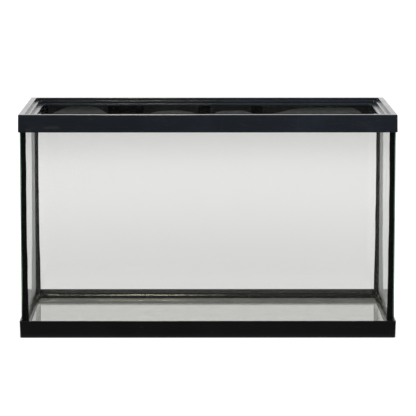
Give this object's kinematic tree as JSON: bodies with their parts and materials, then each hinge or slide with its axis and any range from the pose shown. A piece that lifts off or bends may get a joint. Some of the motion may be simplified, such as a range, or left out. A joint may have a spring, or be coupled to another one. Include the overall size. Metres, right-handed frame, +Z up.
{
  "type": "framed glass aquarium tank",
  "caption": "Rectangular open-top glass aquarium tank with black moulded top and bottom frames, black silicone joints and a stepped rim that takes a hood or a glass lid.",
  "frame": {"origin": "centre of the base, on the table under the bottom frame", "axes": "+X to the tank's right along its length, +Y from the front pane to the back pane, +Z up"},
  "size_m": [0.5156, 0.2688, 0.3066],
  "materials": {
    "rim_plastic": "semi-gloss black moulding, slightly blue",
    "base_plastic": "semi-gloss black moulding",
    "float_glass": "clear float glass with seamed green edges",
    "silicone": "hand-run glossy black silicone",
    "frame_adhesive": "black silicone squeezed between glass and frame"
  },
  "bodies": {
    "root": {"top_frame": "rim_plastic", "bottom_frame": "base_plastic", "floor_pane": "float_glass", "front_pane": "float_glass", "back_pane": "float_glass", "left_pane": "float_glass", "right_pane": "float_glass", "front_left_corner_seal": "silicone", "front_right_corner_seal": "silicone", "back_left_corner_seal": "silicone", "back_right_corner_seal": "silicone", "front_floor_seal": "silicone", "back_floor_seal": "silicone", "left_floor_seal": "silicone", "right_floor_seal": "silicone", "top_adhesive_front": "frame_adhesive", "top_adhesive_back": "frame_adhesive", "top_adhesive_left": "frame_adhesive", "top_adhesive_right": "frame_adhesive", "bottom_adhesive_front": "frame_adhesive", "bottom_adhesive_back": "frame_adhesive", "bottom_adhesive_left": "frame_adhesive", "bottom_adhesive_right": "frame_adhesive"}
  },
  "joints": []
}
